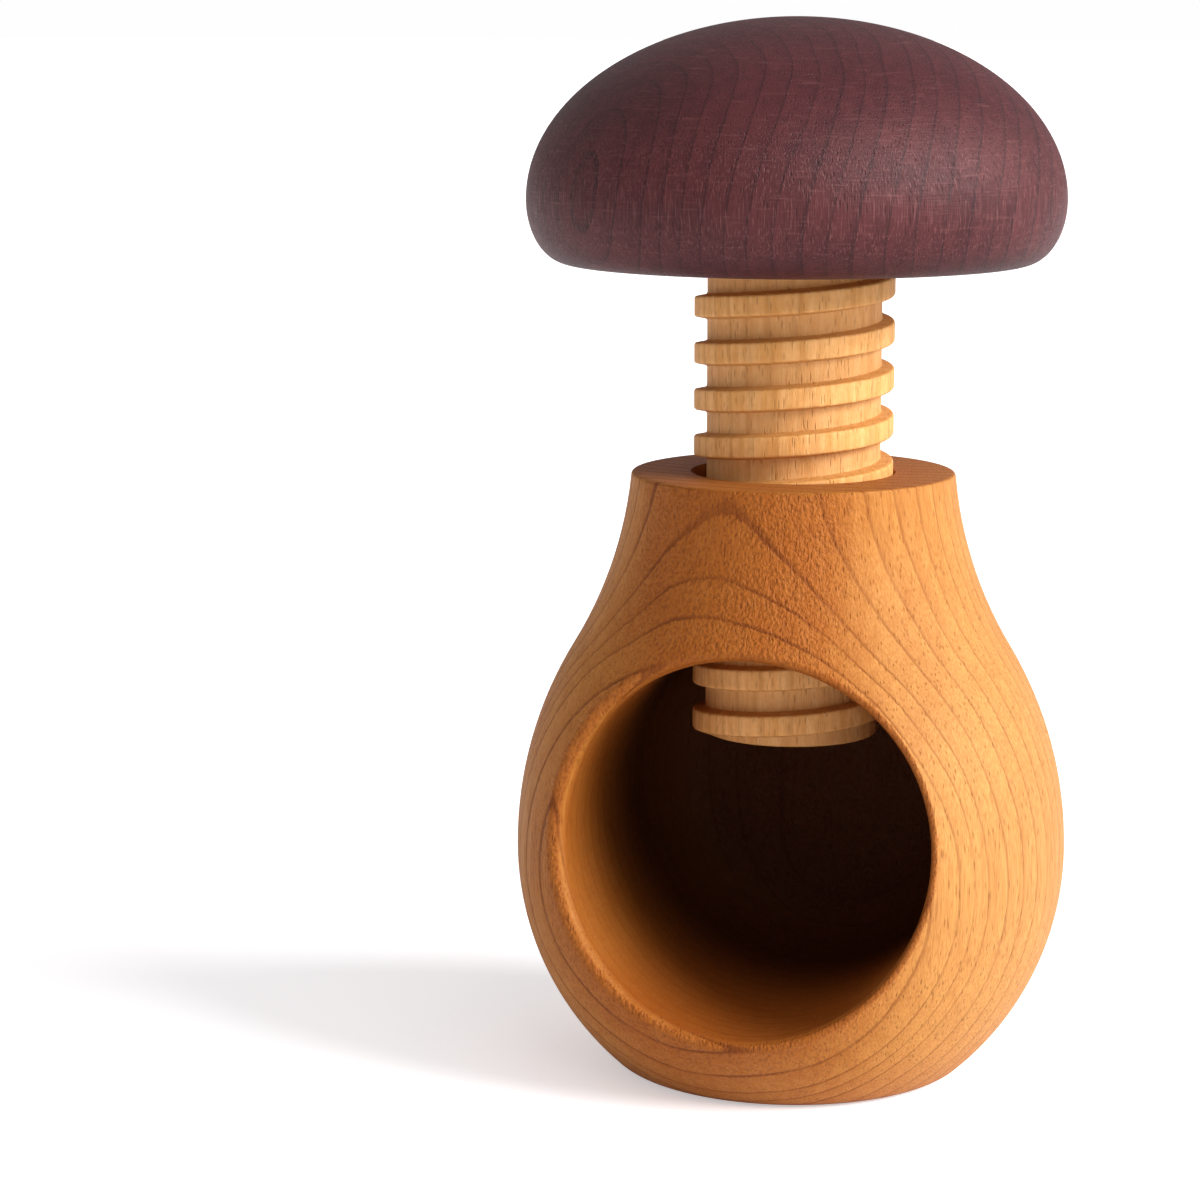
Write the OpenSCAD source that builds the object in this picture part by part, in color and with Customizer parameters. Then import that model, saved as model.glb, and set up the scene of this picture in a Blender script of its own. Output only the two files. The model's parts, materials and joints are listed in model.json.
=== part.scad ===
// Screw nutcracker in turned wood.
// A pear-shaped body holds a nut in a round cavity bored into its side.
// A wooden screw with a mushroom-shaped cap runs down through the neck onto the nut.
// Millimetres, +Z up. The origin is the middle of the flat base, on the screw's axis,
// and the cavity opens towards -Y. The screw is drawn part of the way down.

/* [Body] */
// Height of the body, from its base to the rim of the neck
body_h = 85.5; // [80:0.5:106]
// Greatest diameter of the bulb
bulb_d = 78; // [64:1:96]
// Height of the bulb's widest point above the base
bulb_mid_h = 32; // [24:0.5:39]
// Radius of the bulb's outline above its widest point
bulb_curve_r = 55; // [45:1:66]
// Radius of the bulb's outline below its widest point
foot_curve_r = 41.5; // [34:0.5:50]
// Rounding between the bulb and the flat base
base_edge_r = 5; // [2:0.5:8]
// Diameter of the neck at its rim
neck_d = 45.6; // [38:0.2:56]
// Radius of the hollow curve that runs from the bulb up to the rim
neck_curve_r = 58; // [46:1:70]
// Bevel round the outside of the rim
rim_bevel = 0.5; // [0.2:0.1:1.5]

/* [Nut cavity] */
// Diameter of the cavity bored into the side of the bulb
cavity_d = 51.5; // [42:0.5:54]
// Height of the cavity's axis above the base
cavity_h = 37.4; // [35:0.2:45]
// Depth of the cavity past the screw's axis
cavity_depth = 24; // [20:0.5:27]
// Rounding between the cavity's wall and its blind end
cavity_end_r = 14; // [8:0.5:17]

/* [Screw thread] */
// Diameter over the crests of the screw's thread
crest_d = 28; // [24:0.2:34]
// Depth of the groove between two crests
groove_depth = 1.8; // [1:0.1:2.6]
// Rise of the thread in one turn
pitch = 6.5; // [5.5:0.1:8]
// Width of the groove at its bottom
groove_root_w = 3; // [2.4:0.1:3.4]
// Width of the groove at the crests
groove_mouth_w = 3.6; // [3.5:0.1:4.4]
// Height of the crest above the neck's rim on the +X side, with the screw at rest
thread_offset = 0.1; // [-3:0.1:3]
// Clearance between the screw and the neck's thread, on every side
thread_clearance = 0.3; // [0.2:0.05:0.5]
// Depth of the plain recess at the top of the neck's threaded hole
mouth_depth = 2; // [1:0.5:4]
// Clearance between the screw and the recess, all round
mouth_clearance = 0.4; // [0.35:0.05:0.8]

/* [Screw] */
// Gap between the neck's rim and the cap, with the screw at rest
cap_gap = 29.3; // [10:0.1:36]
// Length of the screw below the cap
screw_l = 66.5; // [60:0.5:80]
// Bevel round the screw's two ends
screw_bevel = 0.4; // [0.2:0.1:1]

/* [Cap] */
// Diameter of the cap
cap_d = 75; // [62:1:90]
// Height of the dome above the cap's widest point
dome_h = 25; // [20:0.5:30]
// Radius of the dome's shoulder
dome_shoulder_r = 19; // [15:0.5:19.5]
// Height of the rounded edge below the cap's widest point
cap_edge_h = 8.8; // [7.5:0.1:10.5]
// Width of the rounded edge
cap_edge_w = 5.8; // [5:0.1:7]
// Radius of the rounded edge where it meets the flat underside
cap_edge_r = 4.2; // [3.4:0.1:4.9]
// Depth of the socket in the cap that seats the screw
socket_depth = 5; // [3:0.5:8]
// Clearance between the screw and its socket, all round
socket_clearance = 0.1; // [0.05:0.05:0.3]

/* [Dowel] */
// Diameter of the hidden dowel that joins the cap and the screw
dowel_d = 12; // [8:0.5:14]
// Length of the dowel
dowel_l = 32; // [24:1:36]
// Bevel round the dowel's two ends
dowel_bevel = 0.8; // [0.4:0.1:1.5]
// Clearance between the dowel and its holes, all round
dowel_clearance = 0.05; // [0.03:0.01:0.1]
// Room for glue past each end of the dowel
glue_room = 0.5; // [0.3:0.1:1]

/* [Hidden] */

$fn = 120;
// Straight steps in each turn of a thread
turn_steps = 24;
// Largest turn of an outline's arc from one of its points to the next, in degrees
arc_step = 5;
// Extra length of every cutter past the face that it cuts
overshoot = 1;

neck_r = neck_d / 2;
bulb_r = bulb_d / 2;
cavity_r = cavity_d / 2;

crest_r = crest_d / 2;
root_r = crest_r - groove_depth;
// Narrowing of the thread's ridge per millimetre out from the axis
flank_slope = (groove_mouth_w - groove_root_w) / groove_depth;
// Height of the crest on the +X side, where the screw and the neck are in mesh
crest_z = body_h + thread_offset;

cap_z = body_h + cap_gap;
screw_end_z = cap_z - screw_l;
screw_top_z = cap_z + socket_depth;
cap_r = cap_d / 2;
cap_mid_z = cap_z + cap_edge_h;
cap_top_z = cap_mid_z + dome_h;

// Height of the dowel's lower end, with half of the dowel above the screw's end
dowel_z = screw_top_z - dowel_l / 2;

// Width of the screw's ridge at a distance r from the axis
function ridge_w(r) = pitch - groove_mouth_w + flank_slope * (crest_r - r);

// Outer one of the two points at distance ra from a and rb from b
function meeting_point(a, ra, b, rb) =
    let (
        d = norm(b - a),
        along = (d * d + ra * ra - rb * rb) / (2 * d),
        across = sqrt(ra * ra - along * along),
        u = (b - a) / d)
    a + along * u + across * [-u.y, u.x];

// Direction from a to b, in degrees
function direction(a, b) = atan2(b.y - a.y, b.x - a.x);

// Points along an arc, after its first one
function arc(centre, r, from, to) =
    let (steps = ceil(abs(to - from) / arc_step))
    [for (i = [1 : steps])
        let (angle = from + (to - from) * i / steps)
        centre + r * [cos(angle), sin(angle)]];

// Radius of the flatter arc that runs smoothly out of a tight one to fill the quarter
// of an oval, where the tight arc lies at the end of the long half-axis
function flat_arc_r(long, short, tight_r) =
    (long * long + short * short - 2 * long * tight_r) / (2 * (short - tight_r));

// Cutter for a thread: a bar wound at one pitch between two heights, whose section is
// w_in high at its inner radius and w_out at its outer one.
// z_at_x is the height of any turn of it on the +X side.
module thread_cutter(r_in, w_in, r_out, w_out, z_at_x, z_low, z_high) {
    first = floor((z_low - z_at_x) / pitch) * turn_steps;
    last = ceil((z_high - z_at_x) / pitch) * turn_steps;
    count = last - first + 1;
    section = [[r_in, -w_in / 2], [r_out, -w_out / 2], [r_out, w_out / 2], [r_in, w_in / 2]];
    points = [
        for (step = [first : last], corner = section)
            let (angle = 360 * step / turn_steps)
            [corner.x * cos(angle), corner.x * sin(angle),
             corner.y + z_at_x + pitch * step / turn_steps]];
    sides = [
        for (step = [0 : count - 2], k = [0 : 3])
            let (a = 4 * step + k, b = 4 * step + (k + 1) % 4)
            each [[a, b, b + 4], [a, b + 4, a + 4]]];
    ends = [[3, 2, 1, 0], [for (k = [0 : 3]) 4 * (count - 1) + k]];
    polyhedron(points = points, faces = concat(sides, ends), convexity = 10);
}

// Round bar along Z with both ends bevelled
module bevelled_bar(r, l, bevel) {
    rotate_extrude()
        polygon([[0, 0], [r - bevel, 0], [r, bevel], [r, l - bevel], [r - bevel, l], [0, l]]);
}

// Round hole for the dowel between two heights
module dowel_hole(z_low, z_high) {
    translate([0, 0, z_low]) cylinder(r = dowel_d / 2 + dowel_clearance, h = z_high - z_low);
}

// Half of the body's section, solid: five touching arcs between the base and the rim
module body_outline() {
    bulb_centre = [bulb_r - bulb_curve_r, bulb_mid_h];
    foot_centre = [bulb_r - foot_curve_r, bulb_mid_h];
    // The base's rounding touches the foot's arc from inside, and the flat base
    edge_reach = foot_curve_r - base_edge_r;
    edge_drop = bulb_mid_h - base_edge_r;
    edge_centre = [
        foot_centre.x + sqrt(edge_reach * edge_reach - edge_drop * edge_drop), base_edge_r];
    // The hollow arc touches the bulb's arc and ends at the rim
    rim = [neck_r, body_h - rim_bevel];
    neck_centre = meeting_point(rim, neck_curve_r, bulb_centre, bulb_curve_r + neck_curve_r);

    foot_turn = direction(foot_centre, edge_centre);
    neck_turn = direction(bulb_centre, neck_centre);
    polygon(concat(
        [[0, 0], [edge_centre.x, 0]],
        arc(edge_centre, base_edge_r, -90, foot_turn),
        arc(foot_centre, foot_curve_r, foot_turn, 0),
        arc(bulb_centre, bulb_curve_r, 0, neck_turn),
        arc(neck_centre, neck_curve_r, 180 + neck_turn, 180 + direction(rim, neck_centre)),
        [[neck_r - rim_bevel, body_h], [0, body_h]]));
}

// Half of the cap's section, solid: a flat underside, a rounded edge and a dome
module cap_outline() {
    side_r = flat_arc_r(cap_edge_h, cap_edge_w, cap_edge_r);
    crown_r = flat_arc_r(cap_r, dome_h, dome_shoulder_r);
    edge_centre = [cap_r - cap_edge_w, cap_z + cap_edge_r];
    side_centre = [cap_r - side_r, cap_mid_z];
    shoulder_centre = [cap_r - dome_shoulder_r, cap_mid_z];
    crown_centre = [0, cap_top_z - crown_r];

    side_turn = direction(side_centre, edge_centre);
    crown_turn = direction(crown_centre, shoulder_centre);
    polygon(concat(
        [[0, cap_z], [edge_centre.x, cap_z]],
        arc(edge_centre, cap_edge_r, -90, side_turn),
        arc(side_centre, side_r, side_turn, 0),
        arc(shoulder_centre, dome_shoulder_r, 0, crown_turn),
        arc(crown_centre, crown_r, crown_turn, 90)));
}

// Space for the nut: a round bore from the front, with a rounded blind end
module nut_cavity() {
    front = -bulb_r - overshoot;
    end_centre = [cavity_r - cavity_end_r, cavity_depth - cavity_end_r];
    translate([0, 0, cavity_h]) rotate([-90, 0, 0]) rotate_extrude()
        polygon(concat(
            [[0, front], [cavity_r, front], end_centre + [cavity_end_r, 0]],
            arc(end_centre, cavity_end_r, 0, 90),
            [[0, cavity_depth]]));
}

module body() {
    bore_r = root_r + thread_clearance;
    cut_in_r = bore_r - overshoot;
    cut_out_r = crest_r + thread_clearance;
    color("#c8803f")
    difference() {
        rotate_extrude() body_outline();
        nut_cavity();
        translate([0, 0, cavity_h]) cylinder(r = bore_r, h = body_h - cavity_h + overshoot);
        translate([0, 0, body_h - mouth_depth])
            cylinder(r = crest_r + mouth_clearance, h = mouth_depth + overshoot);
        // Room in the neck for the screw's crests
        thread_cutter(
            r_in = cut_in_r, w_in = ridge_w(cut_in_r) + 2 * thread_clearance,
            r_out = cut_out_r, w_out = ridge_w(cut_out_r) + 2 * thread_clearance,
            z_at_x = crest_z, z_low = cavity_h + cavity_r / 2, z_high = body_h + pitch);
    }
}

module spindle() {
    cut_out_r = crest_r + overshoot;
    color("#dfb072")
    difference() {
        translate([0, 0, screw_end_z])
            bevelled_bar(crest_r, screw_top_z - screw_end_z, screw_bevel);
        thread_cutter(
            r_in = root_r, w_in = pitch - ridge_w(root_r),
            r_out = cut_out_r, w_out = pitch - ridge_w(cut_out_r),
            z_at_x = crest_z + pitch / 2,
            z_low = screw_end_z - pitch, z_high = screw_top_z + pitch);
        dowel_hole(dowel_z - glue_room, screw_top_z + overshoot);
    }
}

module cap() {
    color("#6a4446")
    difference() {
        rotate_extrude() cap_outline();
        translate([0, 0, cap_z - overshoot])
            cylinder(r = crest_r + socket_clearance, h = socket_depth + overshoot);
        dowel_hole(screw_top_z - overshoot, dowel_z + dowel_l + glue_room);
    }
}

module dowel() {
    color("#e3c08a")
    translate([0, 0, dowel_z]) bevelled_bar(dowel_d / 2, dowel_l, dowel_bevel);
}

body();
spindle();
cap();
dowel();
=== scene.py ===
import json
import math

import bmesh
import bpy
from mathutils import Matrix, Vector


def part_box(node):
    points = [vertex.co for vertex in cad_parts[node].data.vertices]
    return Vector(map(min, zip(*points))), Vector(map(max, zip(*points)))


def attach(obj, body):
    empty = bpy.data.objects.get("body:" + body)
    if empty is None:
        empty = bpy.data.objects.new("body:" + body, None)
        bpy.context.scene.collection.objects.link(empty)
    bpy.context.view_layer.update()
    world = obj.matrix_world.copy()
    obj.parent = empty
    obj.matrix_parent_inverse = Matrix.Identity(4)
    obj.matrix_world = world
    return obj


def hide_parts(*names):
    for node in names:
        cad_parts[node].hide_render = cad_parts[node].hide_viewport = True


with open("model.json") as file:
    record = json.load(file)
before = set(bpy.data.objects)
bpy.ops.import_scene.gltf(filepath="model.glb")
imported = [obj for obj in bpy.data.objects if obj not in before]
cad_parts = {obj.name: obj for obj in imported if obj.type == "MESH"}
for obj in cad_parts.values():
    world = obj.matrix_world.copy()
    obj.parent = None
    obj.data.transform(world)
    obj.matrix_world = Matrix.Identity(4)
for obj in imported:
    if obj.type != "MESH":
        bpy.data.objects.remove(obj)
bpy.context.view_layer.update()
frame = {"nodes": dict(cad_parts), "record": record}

# A turned wooden screw nutcracker: a pear-shaped body with a bored cavity, a threaded
# spindle and a mushroom cap. Each is modelled here in full and stands for its CAD node.

MM = 0.001
CENTRE = Vector((0, 0, 0))
UP = Vector((0, 0, 1))

# Sizes that the frame gives
BODY_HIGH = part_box("body")[1]
CAP_LOW, CAP_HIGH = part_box("cap")
SPINDLE_LOW, SPINDLE_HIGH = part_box("spindle")
DOWEL_LOW, DOWEL_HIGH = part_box("dowel")
BULB_R = BODY_HIGH.x
RIM_Z = BODY_HIGH.z
CAP_R = CAP_HIGH.x
CREST_R = (SPINDLE_HIGH.x - SPINDLE_LOW.x) / 2
DOWEL_R = (DOWEL_HIGH.x - DOWEL_LOW.x) / 2
RISE_PER_TURN = frame["record"]["behaviour"]["couplings"][0]["ratio"] * math.tau

# Body
BULB_MID_Z = 32 * MM
BULB_CURVE_R = 55 * MM
FOOT_CURVE_R = 41.5 * MM
BASE_EDGE_R = 5 * MM
NECK_R = 22.8 * MM
NECK_CURVE_R = 58 * MM
RIM_ROUND = 0.5 * MM

# Nut cavity
CAVITY_R = 25.75 * MM
CAVITY_Z = 37.4 * MM
CAVITY_DEPTH = 24 * MM
CAVITY_END_R = 14 * MM
LIP_R = 1.1 * MM
LIP_R_CHANGE = 0.45 * MM

# Screw thread
GROOVE_DEPTH = 1.8 * MM
CREST_Z = RIM_Z + 0.1 * MM
THREAD_CLEARANCE = 0.3 * MM
MOUTH_DEPTH = 2 * MM
MOUTH_CLEARANCE = 0.4 * MM
CREST_W = 2.9 * MM
FOOT_W = 3.5 * MM
CREST_ROUND = 0.45 * MM
ROOT_ROUND = 0.25 * MM
THREAD_STEPS = 120
CUT_TOLERANCE = 0.0001 * MM
THREAD_SEAM_GAP = 0.002 * MM
END_ROUND = 0.4 * MM

# Cap
CAP_EDGE_H = 8.8 * MM
CAP_EDGE_W = 5.8 * MM
SOCKET_DEPTH = SPINDLE_HIGH.z - CAP_LOW.z
SOCKET_CLEARANCE = 0.1 * MM
DOWEL_CLEARANCE = 0.05 * MM
GLUE_ROOM = 0.5 * MM

SPIN_STEPS = 256
LIP_STEPS = 8
DRILL_STEPS = 128
SEAM_GAP = 0.0005 * MM
# How far a cutting shape reaches past the surface that it cuts
CUT_OVERLAP = 0.02 * MM
CUTTER_REACH = 5 * MM
ARC_STEP = math.radians(2)
SMOOTH_ANGLE = math.radians(32)


# ---------------------------------------------------------------- outlines


def polar(radius, angle):
    return Vector((radius * math.cos(angle), radius * math.sin(angle)))


def direction(start, end):
    return math.atan2(end.y - start.y, end.x - start.x)


def arc(centre, radius, start, end, step=ARC_STEP):
    """Points along an arc, after its first one."""
    count = max(2, math.ceil(abs(end - start) / step))
    return [centre + polar(radius, start + (end - start) * i / count) for i in range(1, count + 1)]


def oval(centre, half_w, half_h, start, end, count):
    """Points along a stretch of an oval, after its first one."""
    angles = (start + (end - start) * i / count for i in range(1, count + 1))
    return [centre + Vector((half_w * math.cos(a), half_h * math.sin(a))) for a in angles]


def meeting_point(a, radius_a, b, radius_b):
    """Outer one of the two points at those distances from a and b."""
    span = b - a
    along = (span.length_squared + radius_a**2 - radius_b**2) / (2 * span.length)
    across = math.sqrt(radius_a**2 - along**2)
    u = span.normalized()
    return a + along * u + across * Vector((-u.y, u.x))


BULB_CENTRE = Vector((BULB_R - BULB_CURVE_R, BULB_MID_Z))
FOOT_CENTRE = Vector((BULB_R - FOOT_CURVE_R, BULB_MID_Z))
EDGE_REACH = FOOT_CURVE_R - BASE_EDGE_R
EDGE_CENTRE = Vector(
    (FOOT_CENTRE.x + math.sqrt(EDGE_REACH**2 - (BULB_MID_Z - BASE_EDGE_R) ** 2), BASE_EDGE_R)
)
RIM_POINT = Vector((NECK_R, RIM_Z - RIM_ROUND))
NECK_CENTRE = meeting_point(RIM_POINT, NECK_CURVE_R, BULB_CENTRE, BULB_CURVE_R + NECK_CURVE_R)
NECK_TURN = direction(BULB_CENTRE, NECK_CENTRE)


def body_outline():
    foot_turn = direction(FOOT_CENTRE, EDGE_CENTRE)
    rim_turn = math.pi + direction(RIM_POINT, NECK_CENTRE)
    rim_round_centre = Vector((NECK_R - RIM_ROUND, RIM_Z - RIM_ROUND))
    return [
        Vector((0, 0)),
        Vector((EDGE_CENTRE.x / 2, 0)),
        Vector((EDGE_CENTRE.x, 0)),
        *arc(EDGE_CENTRE, BASE_EDGE_R, -math.pi / 2, foot_turn, step=math.radians(6)),
        *arc(FOOT_CENTRE, FOOT_CURVE_R, foot_turn, 0),
        *arc(BULB_CENTRE, BULB_CURVE_R, 0, NECK_TURN),
        *arc(NECK_CENTRE, NECK_CURVE_R, math.pi + NECK_TURN, rim_turn),
        *arc(rim_round_centre, RIM_ROUND, 0, math.pi / 2, step=math.radians(15)),
        Vector((CREST_R + 2 * MM, RIM_Z)),
        Vector((0, RIM_Z)),
    ]


def bulb_side(z, inset):
    """Radius of the body at a height, that far below its surface, and the way out there."""
    if z < BULB_MID_Z:
        centre, radius = FOOT_CENTRE, FOOT_CURVE_R - inset
    elif z < BULB_MID_Z + (BULB_CURVE_R - inset) * math.sin(NECK_TURN):
        centre, radius = BULB_CENTRE, BULB_CURVE_R - inset
    else:
        across = math.sqrt((NECK_CURVE_R + inset) ** 2 - (z - NECK_CENTRE.y) ** 2)
        out = Vector((across, NECK_CENTRE.y - z)).normalized()
        return NECK_CENTRE.x - across, out
    across = math.sqrt(radius**2 - (z - centre.y) ** 2)
    return centre.x + across, Vector((across, z - centre.y)).normalized()


def cap_outline():
    """The cap from its top round to the underside, the spindle's socket and the dowel's hole."""
    widest = Vector((0, CAP_LOW.z + CAP_EDGE_H))
    edge_middle = Vector((CAP_R - CAP_EDGE_W, widest.y))
    socket_r = CREST_R + SOCKET_CLEARANCE
    socket_z = CAP_LOW.z + SOCKET_DEPTH
    hole_r = DOWEL_R + DOWEL_CLEARANCE
    hole_z = DOWEL_HIGH.z + GLUE_ROOM
    return [
        Vector((0, CAP_HIGH.z)),
        *oval(widest, CAP_R, CAP_HIGH.z - widest.y, math.pi / 2, 0, count=72),
        *oval(edge_middle, CAP_EDGE_W, CAP_EDGE_H, 0, -math.pi / 2, count=32),
        Vector(((CAP_R + socket_r) / 2, CAP_LOW.z)),
        Vector((socket_r + END_ROUND, CAP_LOW.z)),
        Vector((socket_r, CAP_LOW.z + END_ROUND)),
        Vector((socket_r, socket_z)),
        Vector((hole_r, socket_z)),
        Vector((hole_r, hole_z)),
        Vector((0, hole_z)),
    ]


def thread_outline(grow):
    """One turn of the thread, from the middle of a groove to the middle of the next."""
    half = RISE_PER_TURN / 2
    root_r = CREST_R - GROOVE_DEPTH + grow
    crest_r = CREST_R + grow
    crest_half = CREST_W / 2 + grow
    foot_half = FOOT_W / 2 + grow
    slope = math.atan2(GROOVE_DEPTH, foot_half - crest_half)
    crest_round = arc(
        Vector((crest_r - CREST_ROUND, -crest_half + 0.85 * CREST_ROUND)),
        CREST_ROUND,
        -slope,
        0,
        step=math.radians(18),
    )
    below = [
        Vector((root_r, -half)),
        Vector((root_r, -(half + foot_half + ROOT_ROUND) / 2)),
        Vector((root_r, -foot_half - ROOT_ROUND)),
        Vector((root_r + 0.3 * ROOT_ROUND, -foot_half - 0.3 * ROOT_ROUND)),
        Vector((root_r + ROOT_ROUND, -foot_half + 0.1 * ROOT_ROUND)),
        Vector((crest_r - 1.3 * CREST_ROUND, -crest_half - 0.2 * CREST_ROUND)),
        *crest_round,
        Vector((crest_r, -crest_half / 3)),
    ]
    return below + [Vector((p.x, -p.y)) for p in reversed(below)]


# ---------------------------------------------------------------- shaping


def deselect():
    bpy.ops.object.select_all(action="DESELECT")


def draw(name, outline):
    """Draws an outline in the XZ plane, point by point, and leaves it open for editing."""
    deselect()
    start = Vector((outline[0].x, 0, outline[0].y))
    bpy.ops.mesh.primitive_plane_add(size=MM, location=start)
    bpy.ops.object.transform_apply(location=True, rotation=False, scale=False)
    piece = bpy.context.object
    piece.name = name
    bpy.ops.object.mode_set(mode="EDIT")
    bpy.ops.mesh.merge(type="CENTER")
    for here, there in zip(outline, outline[1:]):
        step = there - here
        bpy.ops.mesh.extrude_vertices_move(TRANSFORM_OT_translate={"value": (step.x, 0, step.y)})
    return piece


def close_seams(gap=SEAM_GAP):
    """Merges what lies on itself and turns all faces outwards, in edit mode."""
    bpy.ops.mesh.select_all(action="SELECT")
    bpy.ops.mesh.remove_doubles(threshold=gap)
    bpy.ops.mesh.normals_make_consistent(inside=False)


def apply_all(piece):
    deselect()
    piece.select_set(True)
    bpy.context.view_layer.objects.active = piece
    for modifier in [m.name for m in piece.modifiers]:
        bpy.ops.object.modifier_apply(modifier=modifier)


def turn(name, outline, steps=SPIN_STEPS):
    """Turns an outline round the axis, as on a lathe."""
    piece = draw(name, outline)
    bpy.ops.mesh.select_all(action="SELECT")
    bpy.ops.mesh.spin(steps=steps, angle=math.tau, center=CENTRE, axis=UP)
    close_seams()
    bpy.ops.object.mode_set(mode="OBJECT")
    return piece


def cut_level(z, keep_below):
    """Cuts off what lies past a height and closes the cut, in edit mode."""
    bpy.ops.mesh.select_all(action="SELECT")
    bpy.ops.mesh.bisect(
        plane_co=(0, 0, z),
        plane_no=UP,
        threshold=CUT_TOLERANCE,
        use_fill=False,
        clear_outer=keep_below,
        clear_inner=not keep_below,
    )


def round_end(step_z):
    """Draws in the cut edge a little, in two steps, and closes it, in edit mode."""
    for drop, shrink in ((0.6, 0.994), (0.4, 0.982)):
        bpy.ops.mesh.extrude_edges_move(TRANSFORM_OT_translate={"value": (0, 0, step_z * drop)})
        bpy.ops.transform.resize(value=(shrink, shrink, 1), center_override=CENTRE)
    bpy.ops.mesh.edge_face_add()


def wind(name, low, high, grow=0, rounded=0):
    """Winds the thread's outline up the axis and cuts it off at two heights."""
    piece = draw(name, thread_outline(grow))
    bpy.ops.mesh.select_all(action="SELECT")
    first = math.floor((low - CREST_Z) / RISE_PER_TURN) - 1
    turns = math.ceil((high - low) / RISE_PER_TURN) + 3
    bpy.ops.transform.translate(value=(0, 0, CREST_Z + first * RISE_PER_TURN))
    bpy.ops.object.mode_set(mode="OBJECT")
    screw = piece.modifiers.new("winding", "SCREW")
    screw.axis = "Z"
    screw.screw_offset = RISE_PER_TURN
    screw.iterations = turns
    screw.steps = screw.render_steps = THREAD_STEPS
    apply_all(piece)
    bpy.ops.object.mode_set(mode="EDIT")
    close_seams(gap=THREAD_SEAM_GAP)
    cut_level(low + rounded, keep_below=False)
    round_end(-rounded)
    cut_level(high - rounded, keep_below=True)
    round_end(rounded)
    close_seams(gap=THREAD_SEAM_GAP)
    bpy.ops.object.mode_set(mode="OBJECT")
    return piece


def carve(piece, cutter):
    """Takes the cutter's shape out of the piece."""
    cut = piece.modifiers.new("cut", "BOOLEAN")
    cut.operation = "DIFFERENCE"
    cut.solver = "EXACT"
    cut.object = cutter
    apply_all(piece)
    bpy.data.objects.remove(cutter)


def place_ring(piece, spot):
    """Extrudes the selected ring and puts each of its points where spot(angle) says."""
    bpy.ops.mesh.extrude_edges_move()
    mesh = bmesh.from_edit_mesh(piece.data)
    angle = mesh.verts.layers.float["angle"]
    for corner in mesh.verts:
        if corner.select:
            corner.co = spot(corner[angle])
    bmesh.update_edit_mesh(piece.data)


def lip_point(angle, share):
    """A point on the cavity's rounded lip: share 0 is on the cavity's wall, 1 on the bulb."""
    radius = LIP_R - LIP_R_CHANGE * math.cos(angle)
    out_of_wall = Vector((math.cos(angle), 0, math.sin(angle)))
    ball = Vector((0, 0, CAVITY_Z)) + (CAVITY_R + radius) * out_of_wall
    side_r, side_out = bulb_side(ball.z, radius - CUT_OVERLAP)
    ball.y = -math.sqrt(side_r**2 - ball.x**2)
    out = Vector((side_out.x * ball.x / side_r, side_out.x * ball.y / side_r, side_out.y))
    return ball + radius * (-out_of_wall).slerp(out, share)


def cavity_cutter():
    """The space for the nut, with a lip that follows the bulb round the mouth."""
    deselect()
    bpy.ops.mesh.primitive_circle_add(vertices=SPIN_STEPS, radius=CAVITY_R, location=CENTRE)
    piece = bpy.context.object
    bpy.ops.object.mode_set(mode="EDIT")
    mesh = bmesh.from_edit_mesh(piece.data)
    angle = mesh.verts.layers.float.new("angle")
    for corner in mesh.verts:
        corner[angle] = math.atan2(corner.co.y, corner.co.x)
        corner.co = lip_point(corner[angle], 1)
        corner.co.y = -BULB_R - CUTTER_REACH
    bmesh.update_edit_mesh(piece.data)
    bpy.ops.mesh.edge_face_add()
    bpy.ops.mesh.select_all(action="SELECT")
    for i in range(LIP_STEPS, -1, -1):
        place_ring(piece, lambda a, share=i / LIP_STEPS: lip_point(a, share))
    end_centre = Vector((CAVITY_R - CAVITY_END_R, CAVITY_DEPTH - CAVITY_END_R))
    end = [end_centre + Vector((CAVITY_END_R, 0))]
    end += arc(end_centre, CAVITY_END_R, 0, math.pi / 2, step=math.radians(6))
    end += [Vector((end_centre.x * share, CAVITY_DEPTH)) for share in (0.5, 0.02)]
    for point in end:
        place_ring(
            piece,
            lambda a, p=point: Vector((p.x * math.cos(a), p.y, CAVITY_Z + p.x * math.sin(a))),
        )
    bpy.ops.mesh.merge(type="CENTER")
    close_seams()
    bpy.ops.object.mode_set(mode="OBJECT")
    return piece


def smooth(piece):
    deselect()
    piece.select_set(True)
    bpy.context.view_layer.objects.active = piece
    bpy.ops.object.shade_smooth_by_angle(angle=SMOOTH_ANGLE)


# ---------------------------------------------------------------- finishes


def tone(code):
    """The linear colour of a #rrggbb code."""
    parts = [int(code[i : i + 2], 16) / 255 for i in (1, 3, 5)]
    linear = [p / 12.92 if p <= 0.04045 else ((p + 0.055) / 1.055) ** 2.4 for p in parts]
    return (*linear, 1)


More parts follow.
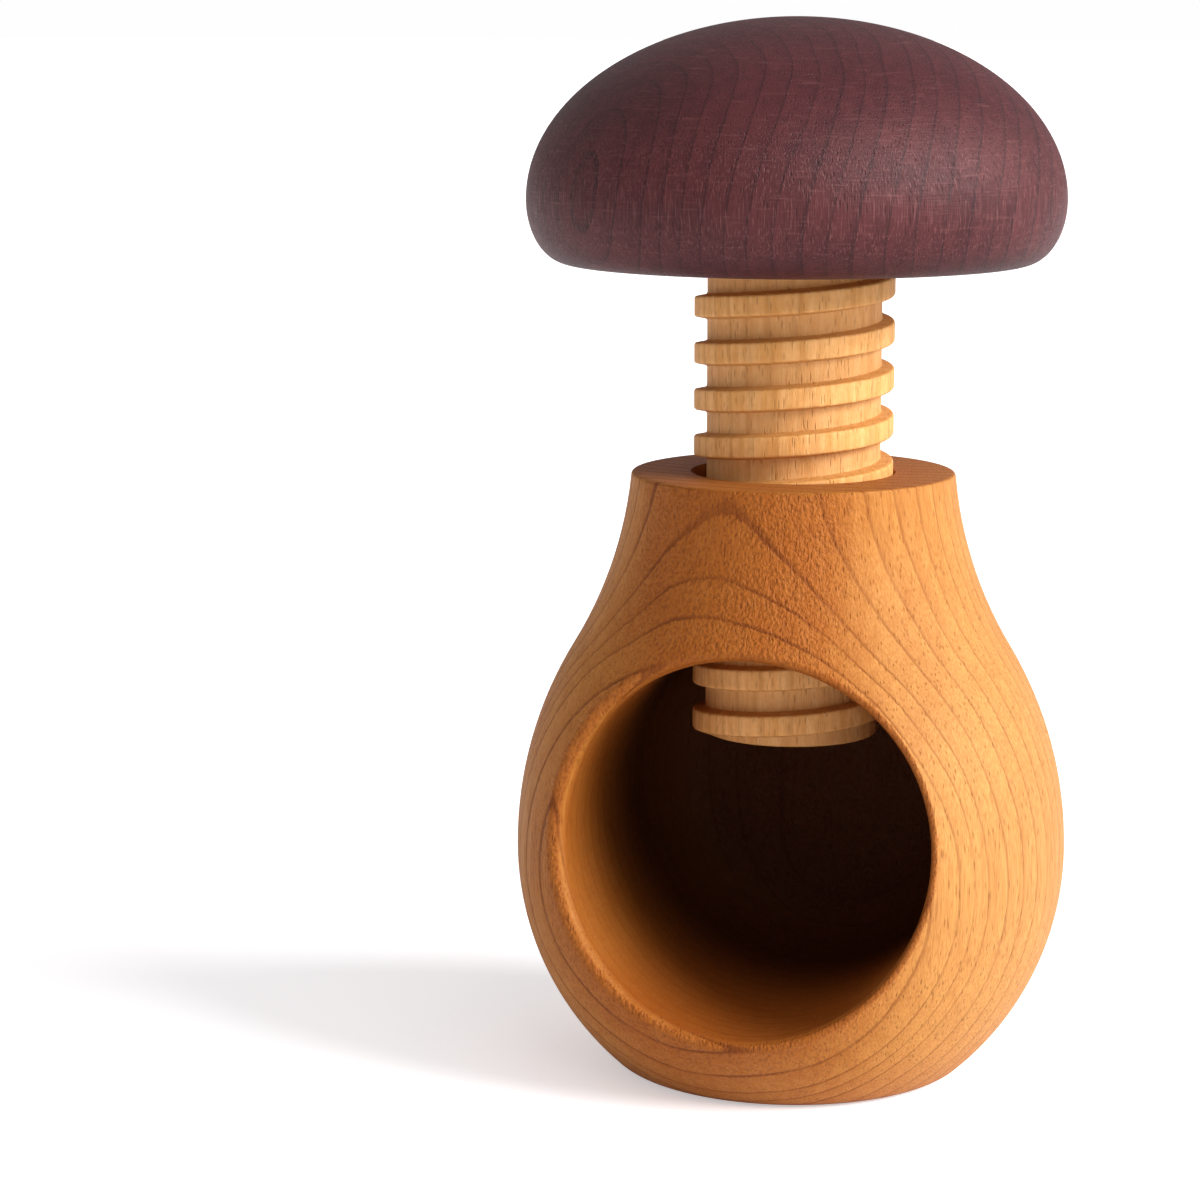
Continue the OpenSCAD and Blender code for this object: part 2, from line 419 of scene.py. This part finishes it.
class Finish:
    """A wood finish built node by node. The lengths in its patterns are in millimetres."""

    def __init__(self, name):
        self.material = bpy.data.materials.new(name)
        self.material.use_nodes = True
        self.tree = self.material.node_tree
        self.shader = self.tree.nodes["Principled BSDF"]
        spot = self.add("TexCoord")
        self.facing = spot.outputs["Normal"]
        self.place = self.vector("SCALE", spot.outputs["Object"], Scale=1 / MM)

    def add(self, kind, inputs=(), **settings):
        node = self.tree.nodes.new("ShaderNode" + kind)
        for name, value in settings.items():
            setattr(node, name, value)
        for name, value in dict(inputs).items():
            self.plug(node.inputs[name], value)
        return node

    def plug(self, socket, value):
        if isinstance(value, bpy.types.NodeSocket):
            self.tree.links.new(value, socket)
        else:
            socket.default_value = value

    def vector(self, operation, a, b=(0, 0, 0), **named):
        node = self.add("VectorMath", {0: a, 1: b, **named}, operation=operation)
        return node.outputs["Value" if operation in ("LENGTH", "DOT_PRODUCT") else "Vector"]

    def sum(self, operation, a, b=0.0, clamp=False):
        return self.add("Math", {0: a, 1: b}, operation=operation, use_clamp=clamp).outputs[0]

    def band(self, value, start, end, low=0.0, high=1.0):
        """Goes smoothly from low to high while the value goes from start to end."""
        inputs = {"Value": value, "From Min": start, "From Max": end, "To Min": low, "To Max": high}
        return self.add("MapRange", inputs, interpolation_type="SMOOTHSTEP").outputs["Result"]

    def blend(self, share, a, b, kind="MIX"):
        node = self.add("Mix", data_type="RGBA", blend_type=kind)
        self.plug(node.inputs["Factor"], share)
        self.plug(node.inputs[6], a)
        self.plug(node.inputs[7], b)
        return node.outputs[2]

    def axes(self, vector):
        return self.add("SeparateXYZ", {0: vector}).outputs

    def stretch(self, vector, size):
        """The place measured in cells of that size along each axis."""
        return self.vector("MULTIPLY", vector, tuple(1 / s for s in size))

    def noise(self, vector, size, detail=3.0, rough=0.55, warp=0.0, colour=False):
        inputs = {
            "Vector": self.stretch(vector, size),
            "Scale": 1.0,
            "Detail": detail,
            "Roughness": rough,
            "Distortion": warp,
        }
        return self.add("TexNoise", inputs).outputs["Color" if colour else "Fac"]

    def trunk(self, pith, lean, wander):
        """The place measured from the tree's pith, with the wander of real growth."""
        inputs = {"Vector": self.vector("SUBTRACT", self.place, (*pith, 0)), "Rotation": (*lean, 0)}
        placed = self.add("VectorRotate", inputs, rotation_type="EULER_XYZ").outputs[0]
        sway = self.noise(self.place, (30, 30, 80), detail=2.0, colour=True)
        sway = self.vector("SUBTRACT", sway, (0.5, 0.5, 0.5))
        return self.vector("ADD", placed, self.vector("MULTIPLY", sway, (wander, wander, 0)))

    def from_pith(self, trunk, pith, ragged=0.25):
        """Distance from the pith, less the pith's distance from the part's axis."""
        x, y, _ = self.axes(trunk)
        radius = self.vector("LENGTH", self.add("CombineXYZ", {"X": x, "Y": y}).outputs[0])
        frayed = self.noise(trunk, (0.5, 0.5, 5), detail=2.0)
        radius = self.sum("ADD", radius, self.sum("MULTIPLY", frayed, ragged))
        return self.sum("SUBTRACT", radius, math.hypot(*pith))

    def uneven_years(self, years, share):
        """Lets some years be wider than others."""
        inputs = {"W": years, "Scale": 0.6, "Detail": 1.0}
        sway = self.add("TexNoise", inputs, noise_dimensions="1D")
        return self.sum("ADD", years, self.sum("MULTIPLY", sway.outputs["Fac"], share))

    def dashes(self, vector, size, share, seed):
        """Short marks along the fibres, in some of the cells of that size."""
        shifted = self.vector("ADD", vector, (seed, seed, seed))
        cells = self.add("TexVoronoi", {"Vector": self.stretch(shifted, size), "Scale": 1.0})
        mark = self.band(cells.outputs["Distance"], 0.42, 0.12)
        chosen = self.axes(cells.outputs["Color"])[0]
        return self.sum("MULTIPLY", mark, self.band(chosen, 1 - share, 1 - share + 0.05))

    def relief(self, height, depth, strength=1.0):
        bump = self.add("Bump", {"Height": height, "Distance": depth * MM, "Strength": strength})
        self.plug(self.shader.inputs["Normal"], bump.outputs["Normal"])

    def end_grain(self, start=0.55, end=0.95):
        """1 where the surface lies across the fibres, 0 where it runs along them."""
        return self.band(self.sum("ABSOLUTE", self.axes(self.facing)[2]), start, end)


def body_wood():
    wood = Finish("orange_wood")
    pith = (11, 78)
    trunk = wood.trunk(pith, lean=(0, 0), wander=2.5)
    radius = wood.from_pith(trunk, pith)
    first_year, year_w = 20.3, 3.0
    years = wood.sum("DIVIDE", wood.sum("SUBTRACT", radius, first_year), year_w)
    dry_start, dry_end, years_squeezed = 22.4, 27.4, 0.92
    dry_years = wood.sum("MULTIPLY", wood.band(radius, dry_start, dry_end), years_squeezed)
    late = wood.sum("FRACT", wood.sum("ADD", years, dry_years))
    line = wood.sum("MULTIPLY", wood.band(late, 0.84, 0.95), wood.band(late, 1.0, 0.975))
    # Ring lines weaker where the surface faces +X, towards the window light: painted highlight
    # washing out the lines
    lit_side_line_washout = wood.band(wood.axes(wood.facing)[0], 0.15, 0.75, 1.0, 0.5)
    patchy = wood.band(wood.noise(wood.place, (9, 9, 26), detail=2.0), 0.35, 0.6, 0.6, 1.0)
    line = wood.sum("MULTIPLY", wood.sum("MULTIPLY", line, lit_side_line_washout), patchy)
    shade = wood.band(late, 0.1, 0.9)
    fine = wood.noise(wood.place, (0.22, 0.22, 7), detail=4.0, rough=0.65)
    broad = wood.noise(wood.place, (1.6, 1.6, 38), detail=3.0)
    cloud = wood.noise(wood.place, (16, 16, 30), detail=2.0)
    across = wood.end_grain()
    pores = wood.dashes(wood.place, (0.42, 0.42, 2.4), share=0.45, seed=3)
    flecks = wood.dashes(wood.place, (0.9, 0.9, 4.5), share=0.2, seed=11)
    grit = wood.noise(wood.place, (0.45, 0.45, 0.6), detail=2.0, rough=0.5)
    rough_side = (-0.139, -0.99, 0.0)
    outward = wood.vector("DOT_PRODUCT", wood.facing, rough_side)
    face_grain = wood.band(outward, 0.6, 0.88)

    x, y, z = wood.axes(wood.place)
    up_from_axis = wood.sum("SUBTRACT", z, CAVITY_Z / MM)
    flat = wood.add("CombineXYZ", {"X": x, "Y": up_from_axis}).outputs[0]
    from_axis = wood.vector("LENGTH", flat)
    # Mask for the inside of the nut cavity, used below for painted shade
    inside = wood.sum(
        "MULTIPLY",
        wood.band(from_axis, CAVITY_R / MM + 0.9, CAVITY_R / MM),
        wood.band(y, CAVITY_DEPTH / MM + 2, CAVITY_DEPTH / MM + 0.5),
    )

    colour = wood.blend(wood.band(broad, 0.3, 0.7), tone("#c4823a"), tone("#b4702a"))
    colour = wood.blend(wood.sum("MULTIPLY", shade, 0.4), colour, tone("#a5601e"))
    clouded = wood.sum("MULTIPLY", wood.band(cloud, 0.35, 0.7), 0.35)
    colour = wood.blend(clouded, colour, tone("#cc8e44"))
    # Paler towards +X, the side the window light falls on: painted highlight, partly also paler
    # sapwood
    sapwood_and_painted_highlight = wood.band(x, 10.0, 36.0, 0.0, 0.34)
    colour = wood.blend(sapwood_and_painted_highlight, colour, tone("#dcae72"))
    colour = wood.blend(wood.sum("MULTIPLY", face_grain, 0.65), colour, tone("#a04f10"))
    colour = wood.blend(wood.sum("MULTIPLY", line, 0.78), colour, tone("#6b320c"))
    colour = wood.blend(wood.band(fine, 0.62, 0.35, 0.0, 0.35), colour, tone("#8a4714"))
    colour = wood.blend(wood.sum("MULTIPLY", pores, 0.32), colour, tone("#733810"))
    colour = wood.blend(wood.sum("MULTIPLY", flecks, 0.25), colour, tone("#733810"))
    rough_face = wood.sum("MULTIPLY", wood.band(grit, 0.52, 0.36), face_grain)
    colour = wood.blend(wood.sum("MULTIPLY", rough_face, 0.35), colour, tone("#743408"))
    colour = wood.blend(wood.sum("MULTIPLY", across, 0.5), colour, tone("#8a4620"))
    # Painted shade: the cavity's walls darker orange, and darker still towards black deeper in,
    # where the real cavity lies in shade
    colour = wood.blend(wood.sum("MULTIPLY", inside, 0.6), colour, tone("#8c4206"))
    painted_cavity_shade = wood.sum("MULTIPLY", inside, wood.band(y, -24.0, 12.0))
    colour = wood.blend(wood.sum("MULTIPLY", painted_cavity_shade, 0.85), colour, tone("#2e1204"))
    wood.plug(wood.shader.inputs["Base Color"], colour)

    rough = wood.band(fine, 0.3, 0.7, 0.62, 0.46)
    rough = wood.sum("ADD", rough, wood.sum("MULTIPLY", line, 0.08))
    wood.plug(wood.shader.inputs["Roughness"], rough)
    height = wood.sum("MULTIPLY", fine, 0.5)
    height = wood.sum("SUBTRACT", height, wood.sum("MULTIPLY", pores, 0.5))
    height = wood.sum("SUBTRACT", height, wood.sum("MULTIPLY", line, 0.35))
    coarse = wood.sum("ADD", wood.sum("MULTIPLY", face_grain, 2.2), 0.25)
    stipple = wood.sum("MULTIPLY", grit, coarse)
    height = wood.sum("ADD", height, stipple)
    wood.relief(height, depth=0.16)
    wood.shader.inputs["Specular IOR Level"].default_value = 0.16
    return wood.material


def spindle_wood():
    wood = Finish("pale_wood")
    pith = (-35, 40)
    trunk = wood.trunk(pith, lean=(0.02, 0.03), wander=4)
    years = wood.uneven_years(wood.sum("DIVIDE", wood.from_pith(trunk, pith), 2.2), 0.8)
    late = wood.sum("FRACT", years)
    line = wood.sum("MULTIPLY", wood.band(late, 0.7, 0.95), wood.band(late, 1.0, 0.96))
    fine = wood.noise(wood.place, (0.18, 0.18, 5), detail=4.0, rough=0.65)
    broad = wood.noise(wood.place, (1.2, 1.2, 22), detail=3.0)
    pores = wood.dashes(wood.place, (0.38, 0.38, 2.2), share=0.5, seed=5)
    torn = wood.noise(wood.place, (0.9, 0.9, 1.6), detail=4.0, rough=0.75)

    x, y, _ = wood.axes(wood.place)
    from_axis = wood.vector("LENGTH", wood.add("CombineXYZ", {"X": x, "Y": y}).outputs[0])
    root = (CREST_R - GROOVE_DEPTH) / MM
    crest = CREST_R / MM
    on_crest = wood.band(from_axis, root + 0.2, crest - 0.1)
    across = wood.end_grain(0.45, 0.9)

    colour = wood.blend(wood.band(broad, 0.3, 0.7), tone("#f2b877"), tone("#e2a05a"))
    in_root = wood.sum("MULTIPLY", wood.band(from_axis, crest, root), 0.5)
    colour = wood.blend(in_root, colour, tone("#cc9a66"))
    colour = wood.blend(wood.sum("MULTIPLY", line, 0.35), colour, tone("#b07a40"))
    colour = wood.blend(wood.band(torn, 0.4, 0.6, 0.0, 0.3), colour, tone("#d08c48"))
    colour = wood.blend(wood.band(fine, 0.5, 0.28, 0.0, 0.28), colour, tone("#b07030"))
    colour = wood.blend(wood.sum("MULTIPLY", pores, 0.3), colour, tone("#8f5f30"))
    tear_outs = wood.sum("MULTIPLY", wood.band(torn, 0.62, 0.75), 0.3)
    colour = wood.blend(tear_outs, colour, tone("#855526"))
    colour = wood.blend(wood.sum("MULTIPLY", across, 0.5), colour, tone("#b87832"))
    wood.plug(wood.shader.inputs["Base Color"], colour)
    wood.plug(wood.shader.inputs["Roughness"], wood.band(fine, 0.3, 0.7, 0.68, 0.5))
    height = wood.sum("SUBTRACT", wood.sum("MULTIPLY", fine, 0.6), wood.sum("MULTIPLY", pores, 0.5))
    height = wood.sum("ADD", height, wood.sum("MULTIPLY", torn, 0.5))
    rougher_roots = wood.sum("SUBTRACT", 1.3, wood.sum("MULTIPLY", on_crest, 0.4))
    height = wood.sum("MULTIPLY", height, rougher_roots)
    wood.relief(height, depth=0.16)
    wood.shader.inputs["Specular IOR Level"].default_value = 0.16
    return wood.material


def cap_wood():
    wood = Finish("plum_wood")
    pith = (-42, -40)
    trunk = wood.trunk(pith, lean=(0.05, -0.14), wander=5)
    years = wood.uneven_years(wood.sum("DIVIDE", wood.from_pith(trunk, pith), 3.2), 0.8)
    late = wood.sum("FRACT", years)
    line = wood.sum("MULTIPLY", wood.band(late, 0.84, 0.96), wood.band(late, 1.0, 0.975))
    shade = wood.band(late, 0.1, 0.95)
    fine = wood.noise(wood.place, (0.2, 0.2, 4), detail=4.0, rough=0.7)
    broad = wood.noise(wood.place, (1.4, 1.4, 18), detail=3.0)
    cloud = wood.noise(wood.place, (15, 15, 11), detail=3.0)
    pores = wood.dashes(wood.place, (0.45, 0.45, 2.0), share=0.5, seed=9)
    across = wood.end_grain(0.4, 0.95)

    x, y, z = wood.axes(wood.place)
    from_axis = wood.vector("LENGTH", wood.add("CombineXYZ", {"X": x, "Y": y}).outputs[0])
    round_it = wood.add("CombineXYZ", {"X": from_axis, "Y": z}).outputs[0]
    tool_marks = wood.noise(round_it, (0.25, 0.25, 1), detail=3.0, rough=0.7)
    rubbed = wood.noise(wood.place, (5, 5, 0.35), detail=3.0, rough=0.6)

    colour = wood.blend(wood.band(broad, 0.3, 0.7), tone("#512326"), tone("#421a1e"))
    clouded = wood.sum("MULTIPLY", wood.band(cloud, 0.35, 0.7), 0.5)
    colour = wood.blend(clouded, colour, tone("#602c2d"))
    colour = wood.blend(wood.sum("MULTIPLY", shade, 0.3), colour, tone("#3a161a"))
    colour = wood.blend(wood.sum("MULTIPLY", line, 0.5), colour, tone("#200c10"))
    upright = wood.band(wood.sum("ABSOLUTE", wood.axes(wood.facing)[2]), 0.75, 0.35)
    paleness = wood.band(upright, 0.0, 1.0, 0.12, 0.55)
    pale = wood.sum("MULTIPLY", wood.band(fine, 0.5, 0.72), paleness)
    colour = wood.blend(pale, colour, tone("#8a5553"))
    colour = wood.blend(wood.band(rubbed, 0.55, 0.75, 0.0, 0.3), colour, tone("#84504e"))
    colour = wood.blend(wood.sum("MULTIPLY", pores, 0.35), colour, tone("#220f12"))
    colour = wood.blend(wood.sum("MULTIPLY", across, 0.35), colour, tone("#3c171b"))
    wood.plug(wood.shader.inputs["Base Color"], colour)
    wood.plug(wood.shader.inputs["Roughness"], wood.band(fine, 0.3, 0.7, 0.56, 0.4))
    height = wood.sum("SUBTRACT", wood.sum("MULTIPLY", fine, 0.7), wood.sum("MULTIPLY", pores, 0.4))
    height = wood.sum("ADD", height, wood.sum("MULTIPLY", tool_marks, 0.25))
    height = wood.sum("ADD", height, wood.sum("MULTIPLY", rubbed, 0.35))
    wood.relief(height, depth=0.13)
    wood.shader.inputs["Specular IOR Level"].default_value = 0.24
    return wood.material


def dowel_wood():
    wood = Finish("dowel_wood")
    fine = wood.noise(wood.place, (0.2, 0.2, 6), detail=4.0, rough=0.65)
    broad = wood.noise(wood.place, (1.5, 1.5, 25), detail=3.0)
    pores = wood.dashes(wood.place, (0.4, 0.4, 2.5), share=0.4, seed=7)
    colour = wood.blend(wood.band(broad, 0.3, 0.7), tone("#e8cb98"), tone("#dcb87e"))
    colour = wood.blend(wood.band(fine, 0.6, 0.35, 0.0, 0.4), colour, tone("#c39a60"))
    colour = wood.blend(wood.sum("MULTIPLY", pores, 0.35), colour, tone("#a87c44"))
    wood.plug(wood.shader.inputs["Base Color"], colour)
    wood.plug(wood.shader.inputs["Roughness"], wood.band(fine, 0.3, 0.7, 0.7, 0.55))
    wood.relief(wood.sum("SUBTRACT", fine, wood.sum("MULTIPLY", pores, 0.5)), depth=0.1)
    return wood.material


# ---------------------------------------------------------------- pieces


def drill(piece, radius, low, high):
    """Drills a round hole on the axis between two heights."""
    deselect()
    middle = (0, 0, (low + high) / 2)
    bpy.ops.mesh.primitive_cylinder_add(
        vertices=DRILL_STEPS, radius=radius, depth=high - low, location=middle
    )
    carve(piece, bpy.context.object)


def make_body():
    piece = turn("turned_body", body_outline())
    carve(piece, cavity_cutter())
    carve(piece, wind("bore", CAVITY_Z, RIM_Z + 2 * MM, grow=THREAD_CLEARANCE))
    drill(piece, CREST_R + MOUTH_CLEARANCE, RIM_Z - MOUTH_DEPTH, RIM_Z + MM)
    return piece


def make_spindle():
    piece = wind("threaded_spindle", SPINDLE_LOW.z, SPINDLE_HIGH.z, rounded=END_ROUND)
    drill(piece, DOWEL_R + DOWEL_CLEARANCE, DOWEL_LOW.z - GLUE_ROOM, SPINDLE_HIGH.z + MM)
    return piece


def make_cap():
    return turn("mushroom_cap", cap_outline())


def finish_piece(piece, material, body, node):
    smooth(piece)
    piece.data.materials.clear()
    piece.data.materials.append(material)
    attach(piece, body)
    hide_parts(node)


finish_piece(make_body(), body_wood(), "body", "body")
finish_piece(make_spindle(), spindle_wood(), "screw", "spindle")
finish_piece(make_cap(), cap_wood(), "screw", "cap")

dowel = frame["nodes"]["dowel"]
dowel.data.materials.clear()
dowel.data.materials.append(dowel_wood())


# ---------------------------------------------------------------- setting


FLOOR_SIZE = 30
CAMERA_DISTANCE = 0.4871
CAMERA_HEIGHT = 0.1499
CAMERA_TURN = math.radians(13)
CAMERA_DOWN = math.radians(9.67)
CAMERA_ASIDE = math.radians(3.2)
LENS = 104.5
SENSOR_W = 36


def for_the_eye(tree, lighting, seen):
    """A brightness that is one value as a light and another where it is looked at."""
    level = tree.nodes.new("ShaderNodeMapRange")
    level.inputs["To Min"].default_value = lighting
    level.inputs["To Max"].default_value = seen
    path = tree.nodes.new("ShaderNodeLightPath")
    tree.links.new(path.outputs["Is Camera Ray"], level.inputs["Value"])
    return level.outputs["Result"]


def make_floor():
    deselect()
    bpy.ops.mesh.primitive_plane_add(size=FLOOR_SIZE, location=CENTRE)
    floor = bpy.context.object
    floor.name = "floor"
    paper = bpy.data.materials.new("white_paper")
    paper.use_nodes = True
    tree = paper.node_tree
    shader = tree.nodes["Principled BSDF"]
    shader.inputs["Base Color"].default_value = (0.9, 0.89, 0.9, 1)
    shader.inputs["Roughness"].default_value = 0.9
    shader.inputs["Specular IOR Level"].default_value = 0.1
    shader.inputs["Emission Color"].default_value = (1, 0.99, 1, 1)
    level = for_the_eye(tree, lighting=0.1, seen=0.45)
    tree.links.new(level, shader.inputs["Emission Strength"])
    floor.data.materials.append(paper)


def aim(light, azimuth, elevation, distance):
    """Points a light at the part. Azimuth 0 is the -Y side and 90 the +X side."""
    a, e = math.radians(azimuth), math.radians(elevation)
    back = Vector((math.sin(a) * math.cos(e), -math.cos(a) * math.cos(e), math.sin(e)))
    light.location = Vector((0, 0, RIM_Z)) + back * distance
    light.rotation_euler = (-back).to_track_quat("-Z", "Y").to_euler()
    bpy.context.collection.objects.link(light)


def add_sun(name, strength, spread, azimuth, elevation):
    lamp = bpy.data.lights.new(name, "SUN")
    lamp.energy = strength
    lamp.angle = math.radians(spread)
    aim(bpy.data.objects.new(name, lamp), azimuth, elevation, distance=1)


def add_softbox(name, size, power, azimuth, elevation, distance):
    lamp = bpy.data.lights.new(name, "AREA")
    lamp.size = size
    lamp.energy = power
    aim(bpy.data.objects.new(name, lamp), azimuth, elevation, distance)


def make_camera():
    camera_data = bpy.data.cameras.new("camera")
    camera_data.lens = LENS
    camera_data.sensor_width = SENSOR_W
    camera = bpy.data.objects.new("camera", camera_data)
    camera.location = (
        CAMERA_DISTANCE * math.sin(CAMERA_TURN),
        -CAMERA_DISTANCE * math.cos(CAMERA_TURN),
        CAMERA_HEIGHT,
    )
    camera.rotation_euler = (math.pi / 2 - CAMERA_DOWN, 0, CAMERA_TURN + CAMERA_ASIDE)
    bpy.context.collection.objects.link(camera)
    bpy.context.scene.camera = camera


def make_setting():
    make_floor()
    add_sun("window", strength=4.8, spread=35, azimuth=82, elevation=27)
    add_softbox("front", size=0.6, power=1.6, azimuth=35, elevation=45, distance=1.0)
    world = bpy.data.worlds.new("studio")
    world.use_nodes = True
    tree = world.node_tree
    sky = tree.nodes["Background"]
    sky.inputs["Color"].default_value = (1, 0.99, 1, 1)
    tree.links.new(for_the_eye(tree, lighting=0.4, seen=1.0), sky.inputs["Strength"])
    bpy.context.scene.world = world
    bpy.context.scene.view_settings.view_transform = "Standard"


make_setting()
make_camera()
